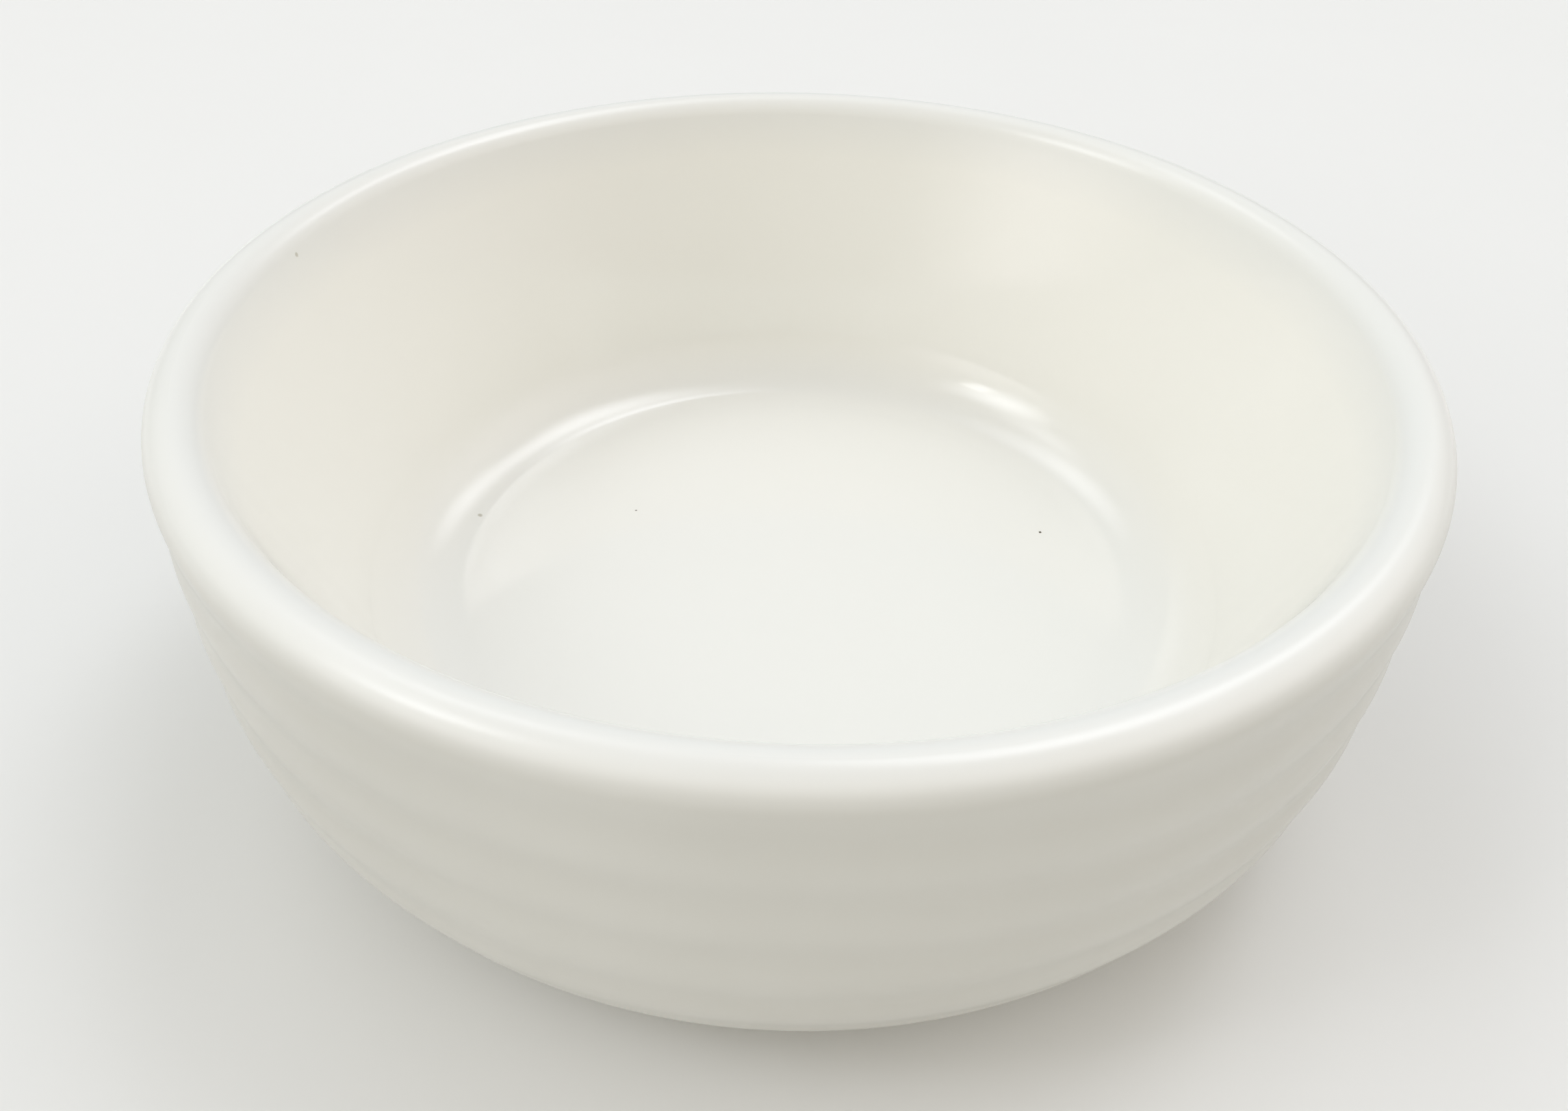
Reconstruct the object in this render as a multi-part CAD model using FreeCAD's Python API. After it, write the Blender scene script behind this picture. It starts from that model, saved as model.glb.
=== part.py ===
import FreeCAD, Part
import math
import os

# Porcelain evaporating dish: a thick-walled round bowl with a rounded lip, soft turned ribs
# around the outside, a flat inside floor and a low foot ring, coated with a thin fused glaze.
#
# Millimetres, +Z up. The origin is the centre of the plane that the foot ring stands on.
# Every solid is a section in the XZ half-plane turned once around Z. A section point is
# (radius, height). The glaze follows the porcelain at a constant distance, so each outline
# is written once with an inset: 0 for the glaze surface, GLAZE for the porcelain under it.

Vector = FreeCAD.Vector

# Lip
RIM_RADIUS = 50.0           # axis to the widest point of the lip
RIM_HEIGHT = 34.5           # height of that widest point
LIP_ROUND = 2.25            # radius of the lip's rounded top

# Outer wall: it leans in slowly below the lip and then tucks under ever faster
WALL_DEPTH = 28.0           # from the widest point down to the end of the ribbed wall
WALL_LEAN = 0.03            # share of the rim radius lost with depth squared
WALL_TUCK = 1.46            # share of the rim radius lost with depth to the fifth power
RIB_PITCH = 5.5             # height from one rib to the next; the lip is the first rib
RIB_DEPTH = 0.45            # depth of the grooves between ribs
RIB_FADE = 6.0              # height over which the ribs die away at the bottom of the wall
POINTS_PER_RIB = 8

# Underside of the bowl
CORNER_ROUND = 8.5          # curve from the wall to the underside
UNDER_SLOPE = 12.0          # degrees that the underside falls towards the foot

# Inside
INNER_LEAN = 20.0           # degrees between the inner wall and the axis; the wall thickens downwards
FLOOR_DEPTH = 26.3          # from the widest point of the lip down to the inside floor
FLOOR_FILLET = 8.2          # curve from the inner wall to the floor

# Foot ring
FOOT_RADIUS = 36.0          # outer side of the ring
FOOT_INNER = 32.0           # inner side of the ring
FOOT_EDGE = 0.5             # rounding of the two edges of the bearing face
FOOT_FILLET = 0.8           # hollow curve between the ring and the underside of the bowl
RECESS_HEIGHT = 2.4         # ceiling of the recess inside the ring

# Glaze
GLAZE = 0.25                # thickness of the coat
BARE_HEIGHT = 0.7           # the ring is wiped bare up to this height
GLAZE_TAPER = 0.5           # height over which the coat grows to its full thickness

CREST_RADIUS = RIM_RADIUS - LIP_ROUND
FULL_GLAZE_HEIGHT = BARE_HEIGHT + GLAZE_TAPER
RECESS_FILLET = RECESS_HEIGHT - FULL_GLAZE_HEIGHT   # hollow curve from ring to ceiling


def along(angle):
    """Unit (radius, height) pair at an angle in degrees from the outward direction."""
    return math.cos(math.radians(angle)), math.sin(math.radians(angle))


def shifted(point, angle, distance):
    """The point moved by a distance along an angle."""
    outward, upward = along(angle)
    return point[0] + distance * outward, point[1] + distance * upward


def at(point):
    """Section point as a vector in the XZ plane."""
    return Vector(point[0], 0, point[1])


def line(start, end):
    return Part.LineSegment(at(start), at(end)).toShape()


def arc(centre, radius, first, last):
    """Arc from one angle to another about a centre."""
    angles = (first, (first + last) / 2, last)
    points = [at(shifted(centre, angle, radius)) for angle in angles]
    return Part.Arc(*points).toShape()


def turned(edges):
    """Solid made by turning a closed section around Z."""
    section = Part.Face(Part.Wire(Part.__sortEdges__(edges)))
    return section.revolve(Vector(0, 0, 0), Vector(0, 0, 1), 360)


# Outer wall

def rib_strength(depth):
    """1 over most of the wall, easing to 0 at its lower end."""
    share = min(1.0, (WALL_DEPTH - depth) / RIB_FADE)
    return share * share * (3 - 2 * share)


def wall_radius(depth):
    share = depth / RIM_RADIUS
    smooth = RIM_RADIUS * (1 - WALL_LEAN * share**2 - WALL_TUCK * share**5)
    groove = (1 - math.cos(2 * math.pi * depth / RIB_PITCH)) / 2
    return smooth - RIB_DEPTH * rib_strength(depth) * groove


def wall_normal(depth):
    """Angle of the wall's outward normal: 0 at the lip, falling below 0 as the wall tucks in."""
    step = 0.001
    change = wall_radius(depth + step) - wall_radius(depth - step)
    return math.degrees(math.atan2(change, 2 * step))


def wall_point(depth, inset):
    surface = (wall_radius(depth), RIM_HEIGHT - depth)
    return shifted(surface, wall_normal(depth), -inset)


def wall_edge(inset):
    """The ribbed wall, from its lower end up to the widest point of the lip."""
    count = round(POINTS_PER_RIB * WALL_DEPTH / RIB_PITCH)
    depths = [WALL_DEPTH * (1 - i / count) for i in range(count + 1)]
    upward = [at(along(wall_normal(depth) + 90)) for depth in (WALL_DEPTH, 0)]
    curve = Part.BSplineCurve()
    curve.interpolate(
        Points=[at(wall_point(depth, inset)) for depth in depths],
        InitialTangent=upward[0],
        FinalTangent=upward[1],
    )
    return curve.toShape()


# Underside of the bowl, between the wall and the foot ring

CORNER_ANGLE = wall_normal(WALL_DEPTH)
UNDER_ANGLE = UNDER_SLOPE - 90
CORNER_CENTRE = shifted(wall_point(WALL_DEPTH, 0), CORNER_ANGLE, -CORNER_ROUND)


def foot_fillet_centre():
    """Centre of the hollow curve that touches the underside and the outer side of the ring."""
    corner_end = shifted(CORNER_CENTRE, UNDER_ANGLE, CORNER_ROUND)
    offset = shifted(corner_end, UNDER_ANGLE, FOOT_FILLET)
    radius = FOOT_RADIUS + FOOT_FILLET
    drop = (offset[0] - radius) * math.tan(math.radians(UNDER_SLOPE))
    return radius, offset[1] - drop


FOOT_FILLET_CENTRE = foot_fillet_centre()


def outer_edges(inset):
    """Outside surface from the side of the foot ring up to the crest of the lip."""
    side_top = (FOOT_RADIUS - inset, FOOT_FILLET_CENTRE[1])
    fillet_end = shifted(FOOT_FILLET_CENTRE, UNDER_ANGLE, -(FOOT_FILLET + inset))
    corner_end = shifted(CORNER_CENTRE, UNDER_ANGLE, CORNER_ROUND - inset)
    lip_centre = (CREST_RADIUS, RIM_HEIGHT)
    return [
        line((FOOT_RADIUS - inset, FULL_GLAZE_HEIGHT), side_top),
        arc(FOOT_FILLET_CENTRE, FOOT_FILLET + inset, 180, UNDER_ANGLE + 180),
        line(fillet_end, corner_end),
        arc(CORNER_CENTRE, CORNER_ROUND - inset, UNDER_ANGLE, CORNER_ANGLE),
        wall_edge(inset),
        arc(lip_centre, LIP_ROUND - inset, 0, 90),
    ]


# Inside

FLOOR_HEIGHT = RIM_HEIGHT - FLOOR_DEPTH
INNER_ANGLE = 180 - INNER_LEAN


def floor_fillet_centre():
    """Centre of the curve that touches the inner wall and the floor."""
    wall_top = shifted((CREST_RADIUS, RIM_HEIGHT), INNER_ANGLE, LIP_ROUND)
    offset = shifted(wall_top, INNER_ANGLE, FLOOR_FILLET)
    height = FLOOR_HEIGHT + FLOOR_FILLET
    lean = (offset[1] - height) * math.tan(math.radians(INNER_LEAN))
    return offset[0] - lean, height


FLOOR_FILLET_CENTRE = floor_fillet_centre()


def inner_edges(inset):
    """Inside surface from the crest of the lip down to the centre of the floor."""
    lip_centre = (CREST_RADIUS, RIM_HEIGHT)
    fillet_radius = FLOOR_FILLET + inset
    wall_top = shifted(lip_centre, INNER_ANGLE, LIP_ROUND - inset)
    wall_end = shifted(FLOOR_FILLET_CENTRE, INNER_ANGLE, -fillet_radius)
    floor_edge = (FLOOR_FILLET_CENTRE[0], FLOOR_HEIGHT - inset)
    return [
        arc(lip_centre, LIP_ROUND - inset, 90, INNER_ANGLE),
        line(wall_top, wall_end),
        arc(FLOOR_FILLET_CENTRE, fillet_radius, -INNER_LEAN, -90),
        line(floor_edge, (0, FLOOR_HEIGHT - inset)),
    ]


# Recess inside the foot ring

def recess_edges(inset):
    """Recess surface from the inner side of the foot ring to the centre of the ceiling."""
    centre = (FOOT_INNER - RECESS_FILLET, RECESS_HEIGHT - RECESS_FILLET)
    return [
        arc(centre, RECESS_FILLET + inset, 0, 90),
        line((centre[0], RECESS_HEIGHT + inset), (0, RECESS_HEIGHT + inset)),
    ]


def foot_edges():
    """Bare porcelain of the foot ring, between the two lines where the glaze is full."""
    outer = FOOT_RADIUS - GLAZE
    inner = FOOT_INNER + GLAZE
    return [
        line((inner, FULL_GLAZE_HEIGHT), (inner, FOOT_EDGE)),
        arc((inner + FOOT_EDGE, FOOT_EDGE), FOOT_EDGE, 180, 270),
        line((inner + FOOT_EDGE, 0), (outer - FOOT_EDGE, 0)),
        arc((outer - FOOT_EDGE, FOOT_EDGE), FOOT_EDGE, -90, 0),
        line((outer, FOOT_EDGE), (outer, FULL_GLAZE_HEIGHT)),
    ]


# Pieces

def porcelain_body():
    axis = line((0, FLOOR_HEIGHT - GLAZE), (0, RECESS_HEIGHT + GLAZE))
    edges = foot_edges() + outer_edges(GLAZE) + inner_edges(GLAZE) + recess_edges(GLAZE)
    return turned(edges + [axis])


def glaze_end(side, porcelain_side):
    """Tapered lower end of a coat, on a side of the foot ring."""
    return [
        line((porcelain_side, BARE_HEIGHT), (porcelain_side, FULL_GLAZE_HEIGHT)),
        line((porcelain_side, BARE_HEIGHT), (side, FULL_GLAZE_HEIGHT)),
    ]


def crest_edge():
    """Cut through the coat at the crest of the lip, where the two coats meet."""
    crest = RIM_HEIGHT + LIP_ROUND
    return line((CREST_RADIUS, crest - GLAZE), (CREST_RADIUS, crest))


def outer_glaze():
    edges = outer_edges(0) + outer_edges(GLAZE) + glaze_end(FOOT_RADIUS, FOOT_RADIUS - GLAZE)
    return turned(edges + [crest_edge()])


def inner_glaze():
    axis = line((0, FLOOR_HEIGHT - GLAZE), (0, FLOOR_HEIGHT))
    return turned(inner_edges(0) + inner_edges(GLAZE) + [axis, crest_edge()])


def base_glaze():
    axis = line((0, RECESS_HEIGHT), (0, RECESS_HEIGHT + GLAZE))
    edges = recess_edges(0) + recess_edges(GLAZE) + glaze_end(FOOT_INNER, FOOT_INNER + GLAZE)
    return turned(edges + [axis])


PIECES = {
    "porcelain_body": porcelain_body,
    "inner_glaze": inner_glaze,
    "outer_glaze": outer_glaze,
    "base_glaze": base_glaze,
}

os.makedirs("parts", exist_ok=True)
for name, make in PIECES.items():
    make().exportStep(f"parts/{name}.step")
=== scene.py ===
import math

import bpy
import numpy as np
from mathutils import Matrix, Vector


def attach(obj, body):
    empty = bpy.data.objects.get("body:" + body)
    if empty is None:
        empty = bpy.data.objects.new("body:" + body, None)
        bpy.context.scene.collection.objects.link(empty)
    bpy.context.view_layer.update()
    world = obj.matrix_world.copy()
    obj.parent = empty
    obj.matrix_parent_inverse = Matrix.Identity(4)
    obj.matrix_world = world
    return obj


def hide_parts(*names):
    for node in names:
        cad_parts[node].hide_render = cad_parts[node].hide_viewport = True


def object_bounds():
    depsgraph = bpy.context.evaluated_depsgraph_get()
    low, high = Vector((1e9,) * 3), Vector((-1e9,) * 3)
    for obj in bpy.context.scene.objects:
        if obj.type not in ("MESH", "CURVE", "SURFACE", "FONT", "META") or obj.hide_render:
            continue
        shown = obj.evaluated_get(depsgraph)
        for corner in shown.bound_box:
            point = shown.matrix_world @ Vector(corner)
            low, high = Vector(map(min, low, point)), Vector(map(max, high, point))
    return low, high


# Porcelain evaporating dish. Metres, +Z up, origin at the centre of the plane the foot stands on.
# Each piece is a section in (radius, height) turned round Z. The glaze follows the porcelain at
# a constant distance, so each section is written once with an inset: 0 for the glaze surface,
# GLAZE for the porcelain under it.

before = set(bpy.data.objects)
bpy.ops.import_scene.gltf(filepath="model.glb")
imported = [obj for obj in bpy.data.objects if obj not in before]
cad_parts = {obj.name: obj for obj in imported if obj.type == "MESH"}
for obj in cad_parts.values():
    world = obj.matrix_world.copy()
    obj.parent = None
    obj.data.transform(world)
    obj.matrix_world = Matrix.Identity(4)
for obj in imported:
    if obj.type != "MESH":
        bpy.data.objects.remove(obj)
cad_low, cad_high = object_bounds()

MM = 0.001

# Lip
RIM_RADIUS = cad_high.x
LIP_ROUND = 2.25 * MM
RIM_HEIGHT = cad_high.z - LIP_ROUND
CREST_RADIUS = RIM_RADIUS - LIP_ROUND

# Outer wall
WALL_DEPTH = 28.0 * MM
WALL_LEAN = 0.03
WALL_TUCK = 1.46
RIB_PITCH = 5.5 * MM
RIB_DEPTH = 0.45 * MM
RIB_FADE = 6.0 * MM
CORNER_ROUND = 8.5 * MM
UNDER_SLOPE = 12.0

# Inside
INNER_LEAN = 20.0
FLOOR_DEPTH = 26.3 * MM
FLOOR_FILLET = 8.2 * MM
FLOOR_HEIGHT = RIM_HEIGHT - FLOOR_DEPTH

# Foot ring
FOOT_RADIUS = 36.0 * MM
FOOT_INNER = 32.0 * MM
FOOT_EDGE = 0.5 * MM
FOOT_FILLET = 0.8 * MM
RECESS_HEIGHT = 2.4 * MM

# Glaze
GLAZE = 0.25 * MM
BARE_HEIGHT = 0.7 * MM
FULL_GLAZE_HEIGHT = 1.2 * MM
RECESS_FILLET = RECESS_HEIGHT - FULL_GLAZE_HEIGHT
POOLING_AND_SHADE_ON_WALL = 0.85       # how far the glaze has gathered on the outer wall, with 1 in a full groove; it also sets how much painted shade the outer wall takes
POOLED_ON_FLOOR = 0.4       # the same on the inside floor, with 1 on the inner wall
LIP_THIN_TO = 55.0          # degrees up the lip's outer curve, above which the glaze lies thin and the painted shade of the outer wall fades out
RUN_OFF = 0.2               # share of the inner wall over which the glaze thickens below the lip

# What the turner's hand and the kiln leave: small departures from a perfect solid of revolution.
# They come and go round the turn as slow waves, whose phases are arbitrary.
RIB_WANDER = 0.22 * MM      # how far a rib runs off level
RIB_UNEVEN = 0.65           # share of a groove's depth that comes and goes round the dish
OVAL = 0.0010               # share of the radius lost across the narrow way
LOBED = 0.0006              # share of the radius lost between three faint lobes
LEAST_SHRINK = 0.0001       # share of the radius lost everywhere, so nothing passes the CAD box
RIM_DIP = 0.0030            # share of the rim height lost at its lowest

SEGMENTS = 360
TURN = np.linspace(0, 2 * math.pi, SEGMENTS, endpoint=False)[None, :]


# Sections

def along(angle):
    return np.array([math.cos(math.radians(angle)), math.sin(math.radians(angle))])


def shifted(point, angle, distance):
    return np.asarray(point) + distance * along(angle)


def ring(radii, heights, pooled=0):
    """A run of section points, the same at every turn angle. Pooled is 0 where the glaze lies
    thin and 1 where it has gathered."""
    run = np.stack(np.broadcast_arrays(radii, heights, pooled), axis=-1)[:, None, :]
    return np.repeat(run, SEGMENTS, axis=1)


def line(start, end, count=1, pooled=(0, 0)):
    """Straight run in this many steps."""
    share = np.linspace(0, 1, count + 1)[:, None]
    run = np.asarray(start) * (1 - share) + np.asarray(end) * share
    return ring(run[:, 0], run[:, 1], np.linspace(*pooled, count + 1))


def arc(centre, radius, first, last, count, pooled=(0, 0)):
    """Round run from one angle to another, in this many steps."""
    angles = np.radians(np.linspace(first, last, count + 1))
    gathered = smooth_step(np.linspace(0, 1, count + 1))
    gathered = pooled[0] + (pooled[1] - pooled[0]) * gathered
    return ring(centre[0] + radius * np.cos(angles), centre[1] + radius * np.sin(angles), gathered)


def smooth_step(share):
    share = np.clip(share, 0, 1)
    return share * share * (3 - 2 * share)


def rib_groove(depth, turn):
    """0 on a rib and 1 in a groove, with ribs that wander a little off level. Two waves make
    the wander, and 1.8 is the most that they can add up to."""
    wander = np.sin(2 * turn + 0.9) + 0.8 * np.sin(3 * turn - 1.1)
    moved = depth + RIB_WANDER / 1.8 * wander * smooth_step(depth / RIB_PITCH)
    return (1 - np.cos(2 * math.pi * moved / RIB_PITCH)) / 2


def rib_depth(depth, turn):
    uneven = (1 + np.cos(2 * turn - 3.3 + 0.12 * depth / RIB_PITCH)) / 2
    fade = smooth_step((WALL_DEPTH - depth) / RIB_FADE)
    return RIB_DEPTH * (1 - RIB_UNEVEN * uneven) * fade


def smooth_radius(depth):
    """Radius of the outer wall without its ribs, at a depth below the widest point of the lip."""
    share = depth / RIM_RADIUS
    return RIM_RADIUS * (1 - WALL_LEAN * share**2 - WALL_TUCK * share**5)


def wall_radius(depth, turn):
    return smooth_radius(depth) - rib_depth(depth, turn) * rib_groove(depth, turn)


def wall(inset, count):
    """The ribbed wall, from the widest point of the lip down to its lower end."""
    depth = np.linspace(0, WALL_DEPTH, count + 1)[:, None]
    step = 0.001 * MM
    change = wall_radius(depth + step, TURN) - wall_radius(depth - step, TURN)
    angle = np.arctan2(change, 2 * step)
    radius = wall_radius(depth, TURN) - inset * np.cos(angle)
    height = RIM_HEIGHT - depth - inset * np.sin(angle)
    # In a groove the glaze gathers fully, which on the outside also deepens the painted shade there.
    groove = rib_groove(depth, TURN) * rib_depth(depth, TURN) / RIB_DEPTH
    pooled = POOLING_AND_SHADE_ON_WALL + (1 - POOLING_AND_SHADE_ON_WALL) * groove
    return np.stack([radius, height, pooled], axis=-1)


def smooth_wall_end():
    """The end of the wall and the angle of its outward normal there, where the ribs have died away."""
    share = WALL_DEPTH / RIM_RADIUS
    slope = -2 * WALL_LEAN * share - 5 * WALL_TUCK * share**4
    return (smooth_radius(WALL_DEPTH), RIM_HEIGHT - WALL_DEPTH), math.degrees(math.atan(slope))


WALL_END, CORNER_ANGLE = smooth_wall_end()
UNDER_ANGLE = UNDER_SLOPE - 90
CORNER_CENTRE = shifted(WALL_END, CORNER_ANGLE, -CORNER_ROUND)
INNER_ANGLE = 180 - INNER_LEAN
LIP_CENTRE = (CREST_RADIUS, RIM_HEIGHT)


def foot_fillet_centre():
    corner_end = shifted(CORNER_CENTRE, UNDER_ANGLE, CORNER_ROUND)
    offset = shifted(corner_end, UNDER_ANGLE, FOOT_FILLET)
    radius = FOOT_RADIUS + FOOT_FILLET
    drop = (offset[0] - radius) * math.tan(math.radians(UNDER_SLOPE))
    return radius, offset[1] - drop


def floor_fillet_centre():
    wall_top = shifted(LIP_CENTRE, INNER_ANGLE, LIP_ROUND)
    offset = shifted(wall_top, INNER_ANGLE, FLOOR_FILLET)
    height = FLOOR_HEIGHT + FLOOR_FILLET
    lean = (offset[1] - height) * math.tan(math.radians(INNER_LEAN))
    return offset[0] - lean, height


FOOT_FILLET_CENTRE = foot_fillet_centre()
FLOOR_FILLET_CENTRE = floor_fillet_centre()


def outside(inset):
    """Runs from the crest of the lip down the outside to the side of the foot ring."""
    corner_end = shifted(CORNER_CENTRE, UNDER_ANGLE, CORNER_ROUND - inset)
    fillet_end = shifted(FOOT_FILLET_CENTRE, UNDER_ANGLE, -(FOOT_FILLET + inset))
    side_top = (FOOT_RADIUS - inset, FOOT_FILLET_CENTRE[1])
    return [
        arc(LIP_CENTRE, LIP_ROUND - inset, 90, LIP_THIN_TO, 6),
        arc(LIP_CENTRE, LIP_ROUND - inset, LIP_THIN_TO, 0, 10, (0, POOLING_AND_SHADE_ON_WALL)),
        wall(inset, 72),
        # Round the lower corner and underneath, the outside takes its full gathered colour, painted shade
        # included.
        arc(CORNER_CENTRE, CORNER_ROUND - inset, CORNER_ANGLE, UNDER_ANGLE, 12, (POOLING_AND_SHADE_ON_WALL, 1)),
        line(corner_end, fillet_end, 4, (1, 1)),
        arc(FOOT_FILLET_CENTRE, FOOT_FILLET + inset, UNDER_ANGLE + 180, 180, 7, (1, 1)),
        line(side_top, (FOOT_RADIUS - inset, FULL_GLAZE_HEIGHT), 2, (1, 1)),
    ]


def inside(inset):
    """Runs from the crest of the lip down the inside to the centre of the floor."""
    fillet_radius = FLOOR_FILLET + inset
    wall_top = shifted(LIP_CENTRE, INNER_ANGLE, LIP_ROUND - inset)
    wall_end = shifted(FLOOR_FILLET_CENTRE, INNER_ANGLE, -fillet_radius)
    below_lip = wall_top + (wall_end - wall_top) * RUN_OFF
    floor_edge = (FLOOR_FILLET_CENTRE[0], FLOOR_HEIGHT - inset)
    return [
        arc(LIP_CENTRE, LIP_ROUND - inset, 90, INNER_ANGLE, 16),
        line(wall_top, below_lip, 4, (0, 1)),
        line(below_lip, wall_end, 16, (1, 1)),
        arc(FLOOR_FILLET_CENTRE, fillet_radius, -INNER_LEAN, -90, 20, (1, POOLED_ON_FLOOR)),
        line(floor_edge, (0, FLOOR_HEIGHT - inset), 20, (POOLED_ON_FLOOR, POOLED_ON_FLOOR)),
    ]


def recess(inset):
    """Runs from the inner side of the foot ring to the centre of the recess's ceiling."""
    centre = (FOOT_INNER - RECESS_FILLET, RECESS_HEIGHT - RECESS_FILLET)
    return [
        arc(centre, RECESS_FILLET + inset, 0, 90, 8),
        line((centre[0], RECESS_HEIGHT + inset), (0, RECESS_HEIGHT + inset), 16),
    ]


def bare_foot():
    """Runs round the bare part of the foot ring, from its outer side to its inner side."""
    outer = FOOT_RADIUS - GLAZE
    inner = FOOT_INNER + GLAZE
    return [
        line((outer, FULL_GLAZE_HEIGHT), (outer, FOOT_EDGE), 3),
        arc((outer - FOOT_EDGE, FOOT_EDGE), FOOT_EDGE, 0, -90, 6),
        line((outer - FOOT_EDGE, 0), (inner + FOOT_EDGE, 0), 6),
        arc((inner + FOOT_EDGE, FOOT_EDGE), FOOT_EDGE, 270, 180, 6),
        line((inner, FOOT_EDGE), (inner, FULL_GLAZE_HEIGHT), 3),
    ]


def backwards(runs):
    return [run[::-1] for run in reversed(runs)]


# Turned meshes

def placed(run):
    """Points of a run in space, with the small departures from roundness and level."""
    radius, height = run[..., 0], run[..., 1]
    oval = OVAL * (1 + np.cos(2 * TURN + 2.8)) / 2
    lobed = LOBED * (1 + np.cos(3 * TURN + 1.3)) / 2
    radius = radius * (1 - LEAST_SHRINK - oval - lobed)
    dip = RIM_DIP * (1 + 0.7 * np.cos(2 * TURN + 2.1) + 0.3 * np.cos(3 * TURN)) / 2
    height = height * (1 - dip * (radius / RIM_RADIUS) ** 2)
    return np.stack([radius * np.cos(TURN), radius * np.sin(TURN), height], axis=-1)


def is_pole(row):
    return np.linalg.norm(row[0, :2]) < 1e-9


def run_normals(points):
    """Unit normals of a run's points, from the slopes round the turn and along the section."""
    order = 2 if len(points) > 2 else 1
    section = np.gradient(points, axis=0, edge_order=order)
    around = np.roll(points, -1, axis=1) - np.roll(points, 1, axis=1)
    normals = np.cross(around, section)
    for pole, beside in ((0, 1), (-1, -2)):
        if is_pole(points[pole]):
            normals[pole] = normals[beside].mean(axis=0)
    return normals / np.linalg.norm(normals, axis=-1, keepdims=True)


def anticlockwise(runs):
    """The runs in the order that keeps the material on their left, seen with the axis at the left."""
    radius, height = np.concatenate([run[:, 0, :2] for run in runs]).T
    area = np.sum(radius * np.roll(height, -1) - np.roll(radius, -1) * height)
    return runs if area > 0 else backwards(runs)


def turned(name, runs):
    """Closed mesh of runs that follow one another round a section. The section closes on itself,
    or starts and ends on the axis."""
    runs = anticlockwise(runs)
    spaces = [placed(run) for run in runs]
    vertices, pooled, rows = [], [], []
    for run, space in zip(runs, spaces):
        for i in range(1 if rows else 0, len(run)):
            keep = 1 if is_pole(space[i]) else SEGMENTS
            count = sum(len(v) for v in vertices)
            rows.append(count + np.arange(SEGMENTS) % keep)
            vertices.append(space[i][:keep])
            pooled.append(run[i, :keep, 2])
    if not is_pole(spaces[0][0]):
        vertices.pop()
        pooled.pop()
        rows[-1] = rows[0]
    faces, normals = [], []
    row = 0
    for space in spaces:
        run_normal = run_normals(space)
        for i in range(len(space) - 1):
            here, there = rows[row], rows[row + 1]
            corners = [here, np.roll(here, -1), np.roll(there, -1), there]
            aims = [run_normal[i], np.roll(run_normal[i], -1, axis=0)]
            aims += [np.roll(run_normal[i + 1], -1, axis=0), run_normal[i + 1]]
            if here[0] == here[1]:
                del corners[1], aims[1]
            if there[0] == there[1]:
                del corners[2], aims[2]
            faces.extend(np.stack(corners, axis=1).tolist())
            normals.append(np.stack(aims, axis=1).reshape(-1, 3))
            row += 1
    mesh = bpy.data.meshes.new(name)
    mesh.from_pydata(np.concatenate(vertices), [], faces)
    mesh.shade_smooth()
    mesh.normals_split_custom_set(np.concatenate(normals))
    attribute = mesh.attributes.new("pooled", "FLOAT", "POINT")
    attribute.data.foreach_set("value", np.concatenate(pooled).astype(np.float32))
    piece = bpy.data.objects.new(name, mesh)
    bpy.context.scene.collection.objects.link(piece)
    return piece


def taper(side, porcelain_side):
    """Lower end of a coat, from full thickness down to nothing on the porcelain."""
    return [
        line((side, FULL_GLAZE_HEIGHT), (porcelain_side, BARE_HEIGHT), 2, (1, 1)),
        line((porcelain_side, BARE_HEIGHT), (porcelain_side, FULL_GLAZE_HEIGHT), 2),
    ]


def crest_cut():
    crest = RIM_HEIGHT + LIP_ROUND
    return line((CREST_RADIUS, crest - GLAZE), (CREST_RADIUS, crest))


def outer_glaze_runs():
    end = taper(FOOT_RADIUS, FOOT_RADIUS - GLAZE)
    return outside(0) + end + backwards(outside(GLAZE)) + [crest_cut()]


def inner_glaze_runs():
    return backwards(inside(0)) + backwards([crest_cut()]) + inside(GLAZE)


def base_glaze_runs():
    end = taper(FOOT_INNER, FOOT_INNER + GLAZE)
    return backwards(recess(0)) + end + recess(GLAZE)


def porcelain_runs():
    outer = outside(GLAZE)
    return backwards(inside(GLAZE)) + outer + bare_foot() + recess(GLAZE)


porcelain = turned("porcelain", porcelain_runs())
inside_coat = turned("inside_coat", inner_glaze_runs())
outside_coat = turned("outside_coat", outer_glaze_runs())
base_coat = turned("base_coat", base_glaze_runs())


# Materials

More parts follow.
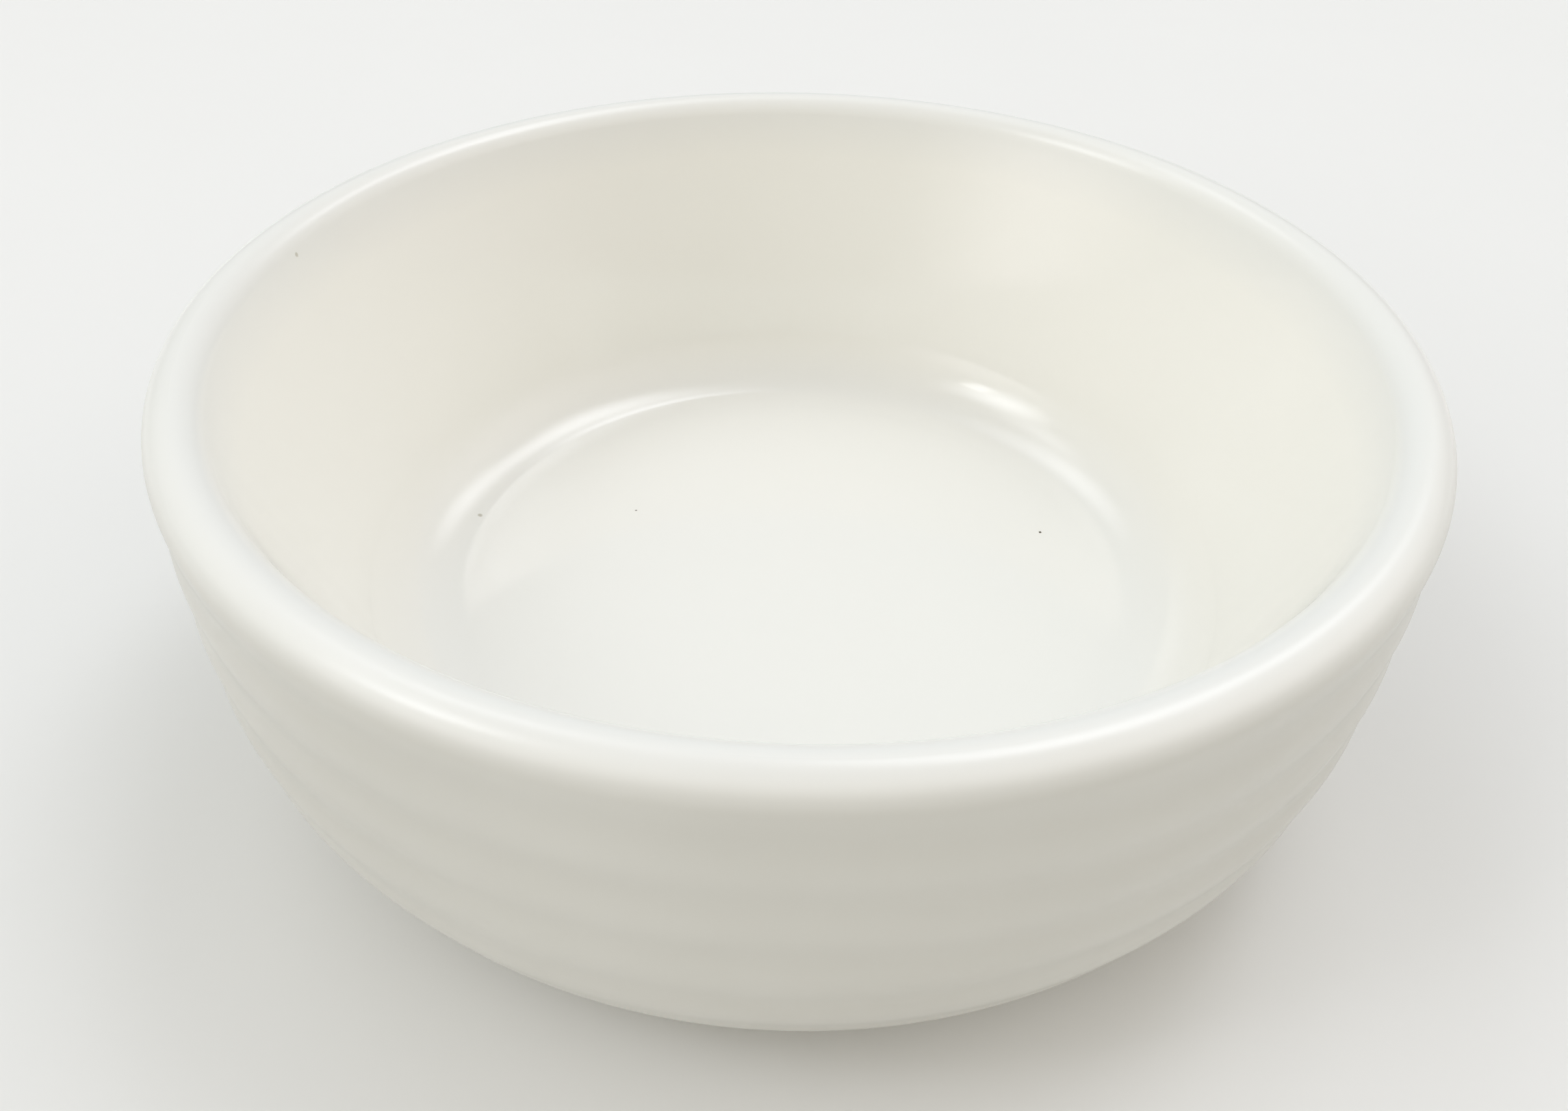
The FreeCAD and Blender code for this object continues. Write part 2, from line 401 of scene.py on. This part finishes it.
class Nodes:
    """Builds the nodes of one material or of the room around the dish. In a material, a place is a
    point in metres in the dish's own frame. In the room it is a direction."""

    def __init__(self, owner, shader, place):
        owner.use_nodes = True
        self.owner = owner
        self.tree = owner.node_tree
        self.shader = self.tree.nodes[shader]
        self.place = self.add("ShaderNodeTexCoord").outputs[place]

    def add(self, kind, inputs=None, **settings):
        node = self.tree.nodes.new(kind)
        for key, value in settings.items():
            setattr(node, key, value)
        for key, value in (inputs or {}).items():
            self.put(node.inputs[key], value)
        return node

    def put(self, socket, value):
        if isinstance(value, bpy.types.NodeSocket):
            self.tree.links.new(value, socket)
        else:
            socket.default_value = value

    def noise(self, size, detail=2.0, place=None):
        """Soft random pattern, around 0.5, whose patches are about this size across."""
        inputs = {"Vector": place or self.place, "Scale": 1 / size, "Detail": detail}
        return self.add("ShaderNodeTexNoise", inputs).outputs["Fac"]

    def ramp(self, value, low, high, to_low=0.0, to_high=1.0):
        inputs = {0: value, 1: low, 2: high, 3: to_low, 4: to_high}
        return self.add("ShaderNodeMapRange", inputs, clamp=True).outputs[0]

    def math(self, operation, first, second):
        return self.add("ShaderNodeMath", {0: first, 1: second}, operation=operation).outputs[0]

    def mix(self, share, first, second):
        node = self.add("ShaderNodeMix", {0: share}, data_type="RGBA")
        self.put(node.inputs[6], (*first, 1) if isinstance(first, tuple) else first)
        self.put(node.inputs[7], (*second, 1) if isinstance(second, tuple) else second)
        return node.outputs[2]

    def bump(self, height, depth, below=None):
        inputs = {"Height": height, "Distance": depth}
        if below is not None:
            inputs["Normal"] = below
        return self.add("ShaderNodeBump", inputs).outputs[0]

    def pooled(self):
        return self.add("ShaderNodeAttribute", attribute_name="pooled").outputs["Fac"]

    def speck(self, colour, spot, size, tone, strength):
        """A fleck of iron burnt into the glaze at a spot given as radius, turn in degrees and height."""
        radius, turn, height = spot
        centre = (radius * math.cos(math.radians(turn)), radius * math.sin(math.radians(turn)), height)
        inputs = {0: self.ragged, 1: centre}
        away = self.add("ShaderNodeVectorMath", inputs, operation="DISTANCE").outputs["Value"]
        return self.mix(self.ramp(away, size * 0.35, size * 0.6, strength, 0.0), colour, tone)

    def make_ragged(self, size, amount):
        """Place moved about at random, which gives small marks an uneven outline."""
        inputs = {"Vector": self.place, "Scale": 1 / size, "Detail": 1.0}
        noise = self.add("ShaderNodeTexNoise", inputs).outputs["Color"]
        centred = self.add("ShaderNodeVectorMath", {0: noise, 1: (0.5, 0.5, 0.5)}, operation="SUBTRACT")
        scaled = self.add("ShaderNodeVectorMath", {0: centred.outputs[0], 3: amount}, operation="SCALE")
        moved = self.add("ShaderNodeVectorMath", {0: self.place, 1: scaled.outputs[0]}, operation="ADD")
        self.ragged = moved.outputs[0]


def material_nodes(name):
    return Nodes(bpy.data.materials.new(name), "Principled BSDF", "Object")


CLOUD = 28 * MM             # size of the patches where a coat is a little thicker or thinner
PEEL = 2.6 * MM             # size of the finest ripples in a coat's surface
SWELL = 9.0 * MM            # size of its slow ripples
DULLING = 14 * MM           # size of the patches where the body under a coat is rougher or smoother
RAGGED = 0.12 * MM          # how uneven the outline of a speck is

# Roughness of a coat's clear surface. The denoiser draws an edge where it passes about 0.27, so
# it stays below that everywhere.
LIP_GLOSS = 0.26            # where the glaze lies thin
INSIDE_GLOSS = 0.095        # where it has gathered, inside and outside
OUTSIDE_GLOSS = 0.26
FULL_GLOSS_AT = 0.3         # how far the glaze has gathered where it reaches those two


def glaze(name, thin_colour, colour, gloss, ripple, specks=()):
    """Clear glaze over porcelain. It runs off the lip, and the colour given for where it has gathered
    shows there; on the outside that colour holds painted shade.
    """
    nodes = material_nodes(name)
    cloud = nodes.ramp(nodes.noise(CLOUD, 3.0), 0.3, 0.7, -0.1, 0.1)
    share = nodes.ramp(nodes.math("ADD", nodes.pooled(), cloud), 0.0, 1.0)
    tint = nodes.mix(share, thin_colour, colour)
    nodes.make_ragged(RAGGED, RAGGED)
    for spot, size, tone, strength in specks:
        tint = nodes.speck(tint, spot, size, tone, strength)
    nodes.put(nodes.shader.inputs["Base Color"], tint)
    peel = nodes.bump(nodes.noise(PEEL, 2.0), ripple)
    swell = nodes.bump(nodes.noise(SWELL, 1.0), ripple * 3, peel)
    nodes.put(nodes.shader.inputs["Coat Normal"], swell)
    nodes.put(nodes.shader.inputs["Roughness"], nodes.ramp(nodes.noise(DULLING), 0.3, 0.7, 0.42, 0.55))
    nodes.shader.inputs["Specular IOR Level"].default_value = 0.0
    nodes.shader.inputs["Coat Weight"].default_value = 1.0
    roughness = nodes.ramp(share, 0.0, FULL_GLOSS_AT, LIP_GLOSS, gloss)
    nodes.put(nodes.shader.inputs["Coat Roughness"], roughness)
    nodes.shader.inputs["Coat IOR"].default_value = 1.6
    return nodes.owner


def bare_porcelain():
    """Fired but unglazed: very fine grain, with grey rub marks where it has slid on benches."""
    nodes = material_nodes("bare_porcelain")
    grain = nodes.noise(0.25 * MM, 3.0)
    rubbed = nodes.ramp(nodes.noise(3.5 * MM, 4.0), 0.52, 0.72, 0.0, 0.5)
    clean = nodes.mix(nodes.ramp(grain, 0.3, 0.7), (0.74, 0.71, 0.63), (0.80, 0.78, 0.71))
    nodes.put(nodes.shader.inputs["Base Color"], nodes.mix(rubbed, clean, (0.56, 0.54, 0.49)))
    nodes.put(nodes.shader.inputs["Roughness"], nodes.ramp(rubbed, 0.0, 0.5, 0.78, 0.62))
    nodes.put(nodes.shader.inputs["Normal"], nodes.bump(grain, 0.03 * MM))
    return nodes.owner


THIN_GLAZE = (0.852, 0.852, 0.822)
INSIDE_GLAZE = (0.905, 0.895, 0.845)
# Painted shade: the outside colour is the glaze's cream tint made much darker than the inside's, standing
# in for the shade on the outer wall, which is lit less than the inside.
OUTSIDE_GLAZE_AND_SHADE = (0.62, 0.61, 0.56)
BROWN = (0.10, 0.085, 0.06)
FAINT = (0.45, 0.42, 0.33)

# Radius, turn in degrees and height of each speck, then its size, tone and strength
INSIDE_SPECKS = [
    ((25.7 * MM, 18.6, FLOOR_HEIGHT), 0.30 * MM, BROWN, 1.0),
    ((18.6 * MM, 149.0, FLOOR_HEIGHT), 0.22 * MM, BROWN, 0.8),
    ((32.1 * MM, 166.2, FLOOR_HEIGHT + 0.26 * MM), 0.45 * MM, FAINT, 0.7),
    ((45.5 * MM, 167.2, RIM_HEIGHT + 0.46 * MM), 0.40 * MM, FAINT, 0.6),
]
inside_glaze = glaze(
    "inside_glaze", THIN_GLAZE, INSIDE_GLAZE, INSIDE_GLOSS, 0.0012 * MM, INSIDE_SPECKS)
# The outside glaze carries painted shade in its gathered colour.
outside_glaze = glaze("outside_glaze", THIN_GLAZE, OUTSIDE_GLAZE_AND_SHADE, OUTSIDE_GLOSS, 0.002 * MM)

for piece, node, slot, material in (
    (porcelain, "porcelain_body", "porcelain", bare_porcelain()),
    (inside_coat, "inner_glaze", "inside_glaze", inside_glaze),
    (outside_coat, "outer_glaze", "outside_glaze", outside_glaze),
    (base_coat, "base_glaze", "outside_glaze", outside_glaze),
):
    piece.data.materials.append(material)
    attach(piece, "root")
    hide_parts(node)


# Floor

FLOOR_SIZE = 6.0
bpy.ops.mesh.primitive_grid_add(x_subdivisions=8, y_subdivisions=8, size=FLOOR_SIZE)
floor = bpy.context.object
floor.name = "floor"
nodes = material_nodes("floor")
nodes.put(nodes.shader.inputs["Base Color"],
          nodes.mix(nodes.noise(60 * MM, 4.0), (0.83, 0.83, 0.82), (0.85, 0.85, 0.84)))
nodes.shader.inputs["Roughness"].default_value = 0.9
nodes.shader.inputs["Specular IOR Level"].default_value = 0.1
floor.data.materials.append(nodes.owner)


# Light

def toward(azimuth, elevation):
    """Unit vector. Azimuth is from +Y towards +X, elevation above the horizon, in degrees."""
    a, e = math.radians(azimuth), math.radians(elevation)
    return Vector((math.sin(a) * math.cos(e), math.cos(a) * math.cos(e), math.sin(e)))


WATTS_PER_GLOW = 4          # watts per square metre that give an area light's face a brightness of 1


def softbox(name, azimuth, elevation, distance, width, height, glow, colour):
    """Rectangular light that faces the dish. Glow is how bright its face is, with 1 as white."""
    light = bpy.data.lights.new(name, "AREA")
    light.shape = "RECTANGLE"
    light.size = width
    light.size_y = height
    light.energy = WATTS_PER_GLOW * glow * width * height
    light.color = colour
    box = bpy.data.objects.new(name, light)
    aim = toward(azimuth, elevation)
    box.location = aim * distance + Vector((0, 0, FLOOR_HEIGHT))
    box.rotation_mode = "QUATERNION"
    box.rotation_quaternion = aim.to_track_quat("Z", "Y")
    box.visible_camera = False
    bpy.context.scene.collection.objects.link(box)


ROOM_GREY = 0.12            # the room where none of its lights fall
COOL_WHITE = (0.97, 0.995, 1.06)

# Azimuth and elevation of each light's middle, its half width and half height in degrees, its
# brightness and its colour. Each is brightest in the middle and fades to nothing at its edge.
ROOM_LIGHTS = {
    "ceiling": (0, 90, 70, 70, 1.0, (0.13, 0.14, 0.165)),
    "back_wall": (0, 30, 75, 60, 1.0, (0.48, 0.53, 0.55)),
    "front_wall": (180, 35, 75, 60, 1.0, (0.58, 0.545, 0.44)),
    "left_window": (-90, 32, 75, 60, 1.0, (0.83, 0.84, 0.765)),
    "right_window": (90, 32, 75, 60, 1.0, (1.15, 1.09, 1.03)),
    "left_bench": (-125, 18, 35, 30, 1.0, (1.20, 1.15, 1.18)),
    "left_panel": (-105, 48, 15, 20, 4.2, COOL_WHITE),
    "left_panel_glow": (-75, 54, 14, 13, 1.5, COOL_WHITE),
    "back_panel": (-35, 55, 20, 14, 2.3, COOL_WHITE),
    "right_panel": (44, 64, 19, 16, 4.3, COOL_WHITE),
    "right_panel_tip": (12, 60, 7, 10, 3.7, COOL_WHITE),
    "right_panel_glow": (38, 46, 14, 17, 2.7, COOL_WHITE),
}

softbox("left_lamp", azimuth=-116, elevation=46, distance=0.9, width=0.08, height=0.16,
        glow=2.6, colour=(1.0, 1.0, 1.03))


def with_glow(nodes, light, azimuth, elevation, width, height, brightness, colour):
    """The room's light with one more soft patch added."""
    aim = toward(azimuth, elevation)
    size = [2 * math.sin(math.radians(half) / 2) for half in (width, height, max(width, height))]
    turn = aim.to_track_quat("Z", "Y").to_euler()
    inputs = {"Vector": nodes.place, "Location": aim, "Rotation": turn, "Scale": size}
    local = nodes.add("ShaderNodeMapping", inputs, vector_type="TEXTURE").outputs[0]
    away = nodes.add("ShaderNodeVectorMath", {0: local}, operation="LENGTH").outputs["Value"]
    faded = {0: away, 1: 0.0, 2: 1.0, 3: brightness, 4: 0.0}
    share = nodes.add("ShaderNodeMapRange", faded, interpolation_type="SMOOTHSTEP").outputs[0]
    patch = nodes.add("ShaderNodeVectorMath", {0: colour, 3: share}, operation="SCALE").outputs[0]
    return nodes.add("ShaderNodeVectorMath", {0: light, 1: patch}, operation="ADD").outputs[0]


def room():
    """A dim grey room, with soft patches of light for its walls, windows and light panels."""
    world = bpy.data.worlds.new("room")
    bpy.context.scene.world = world
    nodes = Nodes(world, "Background", "Generated")
    light = nodes.add("ShaderNodeCombineXYZ", {0: ROOM_GREY, 1: ROOM_GREY, 2: ROOM_GREY}).outputs[0]
    for patch in ROOM_LIGHTS.values():
        light = with_glow(nodes, light, *patch)
    nodes.put(nodes.shader.inputs["Color"], light)


room()
bpy.context.scene.view_settings.view_transform = "Standard"


# Camera

VIEW_TARGET = Vector((-0.9 * MM, 0, 10.9 * MM))
VIEW_DISTANCE = 121.1 * MM
VIEW_AZIMUTH = 0.553        # degrees to the right of straight in front
VIEW_ELEVATION = 39.62
VIEW_ROLL = 1.53            # degrees anticlockwise, seen from behind the camera
SENSOR = 36.0
LENS = 29.84

camera = bpy.data.objects.new("camera", bpy.data.cameras.new("camera"))
bpy.context.scene.collection.objects.link(camera)
camera.data.sensor_width = SENSOR
camera.data.lens = LENS
camera.data.clip_start = 1 * MM
camera.data.clip_end = 20.0
back = toward(180 - VIEW_AZIMUTH, VIEW_ELEVATION)
camera.location = VIEW_TARGET + back * VIEW_DISTANCE
camera.rotation_mode = "QUATERNION"
roll = Matrix.Rotation(math.radians(VIEW_ROLL), 3, "Z").to_quaternion()
camera.rotation_quaternion = back.to_track_quat("Z", "Y") @ roll
bpy.context.scene.camera = camera
